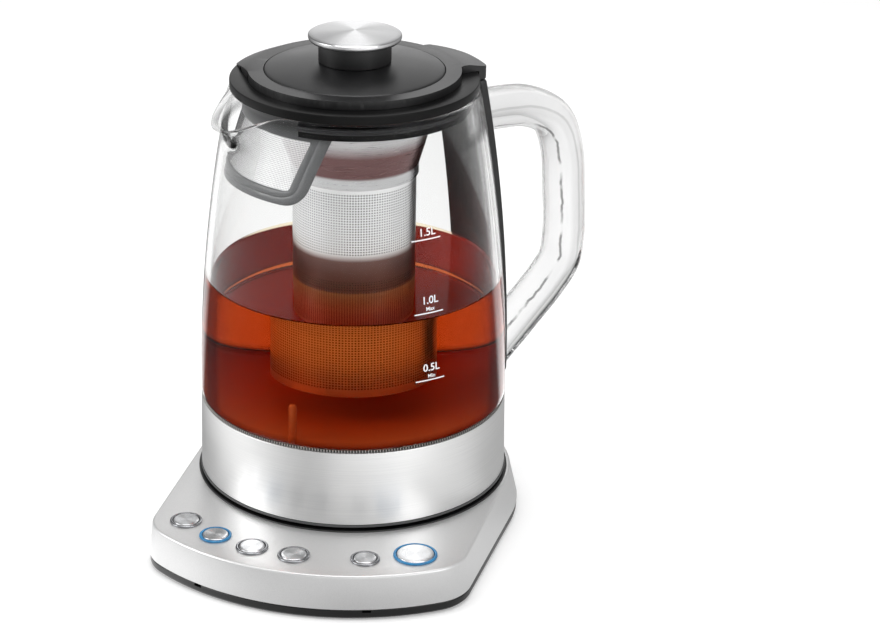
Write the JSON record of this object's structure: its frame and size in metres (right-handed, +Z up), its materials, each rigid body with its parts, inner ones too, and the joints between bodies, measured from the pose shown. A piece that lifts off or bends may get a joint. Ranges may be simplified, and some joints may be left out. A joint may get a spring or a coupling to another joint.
{
  "type": "automatic tea maker",
  "caption": "Glass jug on a heated base with a row of buttons; steel tea basket, spout filter, lid with a round knob and a clear loop handle.",
  "frame": {"origin": "middle of the bounding box at table height", "axes": "+Z up along the jug's axis, -Y towards the front edge of the base with the buttons, +X to the right seen from there"},
  "size_m": [0.174, 0.2072, 0.2385],
  "materials": {
    "silver_shell": "satin silver, smooth",
    "black_plastic": "satin black with a fine grain",
    "black_collar": "satin dark grey-black with a fine grain",
    "grey_plastic": "satin mid grey",
    "band_steel": "brushed round the band",
    "polished_steel": "polished",
    "spun_steel": "spun, with lines round the centre",
    "basket_steel": "fine satin steel",
    "mesh_steel": "woven fine mesh",
    "inner_steel": "plain rolled steel",
    "screw_steel": "plain plated steel",
    "clear_glass": "clear glass",
    "clear_plastic": "clear, polished",
    "bezel_steel": "dark bright ring",
    "bezel_light": "blue lit ring",
    "rubber": "matte black rubber",
    "silicone": "matte dark silicone",
    "brass": "plain brass",
    "circuit_board": "green board lacquer"
  },
  "bodies": {
    "base": {"base_plate": "black_plastic", "base_shell": "silver_shell", "foot_1": "rubber", "foot_2": "rubber", "foot_3": "rubber", "foot_4": "rubber", "base_screw_1": "screw_steel", "base_screw_2": "screw_steel", "base_screw_3": "screw_steel", "base_screw_4": "screw_steel", "control_board": "circuit_board", "power_board": "circuit_board", "power_tower": "black_plastic", "tower_contact_ring": "brass", "tower_contact_sleeve": "brass", "cord_inlet": "rubber", "switch_1": "black_plastic", "switch_2": "black_plastic", "switch_3": "black_plastic", "switch_4": "black_plastic", "switch_5": "black_plastic", "switch_6": "black_plastic", "bezel_1": "bezel_steel", "bezel_2": "bezel_light", "bezel_3": "bezel_steel", "bezel_4": "bezel_steel", "bezel_5": "bezel_steel", "bezel_6": "bezel_light"},
    "jug": {"glass_jug": "clear_glass", "steel_band": "band_steel", "bottom_cover": "grey_plastic", "seal_ring": "silicone", "floor_plate": "inner_steel", "heating_ring": "inner_steel", "jug_connector": "black_plastic", "jug_contact_ring": "brass", "jug_contact_pin": "brass", "temperature_sensor": "polished_steel", "handle": "clear_plastic", "handle_spine": "black_collar", "collar_ring": "black_collar", "collar_cover": "black_collar", "collar_seal": "silicone", "spout_filter_frame": "grey_plastic", "spout_filter_mesh": "mesh_steel"},
    "basket": {"basket_funnel": "polished_steel", "basket_tube": "basket_steel", "basket_floor": "basket_steel"},
    "lid": {"lid_disc": "black_collar", "lid_seal": "silicone", "knob_stem": "black_plastic", "knob_cap": "spun_steel", "knob_screw": "screw_steel"},
    "key_1": {"button_1": "spun_steel"},
    "key_2": {"button_2": "spun_steel"},
    "key_3": {"button_3": "spun_steel"},
    "key_4": {"button_4": "spun_steel"},
    "key_5": {"button_5": "spun_steel"},
    "key_6": {"button_6": "spun_steel"}
  },
  "joints": [
    {"name": "jug_lift", "type": "slide", "parent": "base", "child": "jug", "axis": [0, 0, 1], "range_m": [0, 0.05]},
    {"name": "basket_lift", "type": "slide", "parent": "jug", "child": "basket", "axis": [0, 0, 1], "range_m": [0, 0.15]},
    {"name": "lid_lift", "type": "slide", "parent": "basket", "child": "lid", "axis": [0, 0, 1], "range_m": [0, 0.04]},
    {"name": "button_1_press", "type": "slide", "parent": "base", "child": "key_1", "axis": [0, 0, -1], "range_m": [0, 0.0012], "stiffness_N_per_m": 600},
    {"name": "button_2_press", "type": "slide", "parent": "base", "child": "key_2", "axis": [0, 0, -1], "range_m": [0, 0.0012], "stiffness_N_per_m": 600},
    {"name": "button_3_press", "type": "slide", "parent": "base", "child": "key_3", "axis": [0, 0, -1], "range_m": [0, 0.0012], "stiffness_N_per_m": 600},
    {"name": "button_4_press", "type": "slide", "parent": "base", "child": "key_4", "axis": [0, 0, -1], "range_m": [0, 0.0012], "stiffness_N_per_m": 600},
    {"name": "button_5_press", "type": "slide", "parent": "base", "child": "key_5", "axis": [0, 0, -1], "range_m": [0, 0.0012], "stiffness_N_per_m": 600},
    {"name": "button_6_press", "type": "slide", "parent": "base", "child": "key_6", "axis": [0, 0, -1], "range_m": [0, 0.0012], "stiffness_N_per_m": 600}
  ]
}
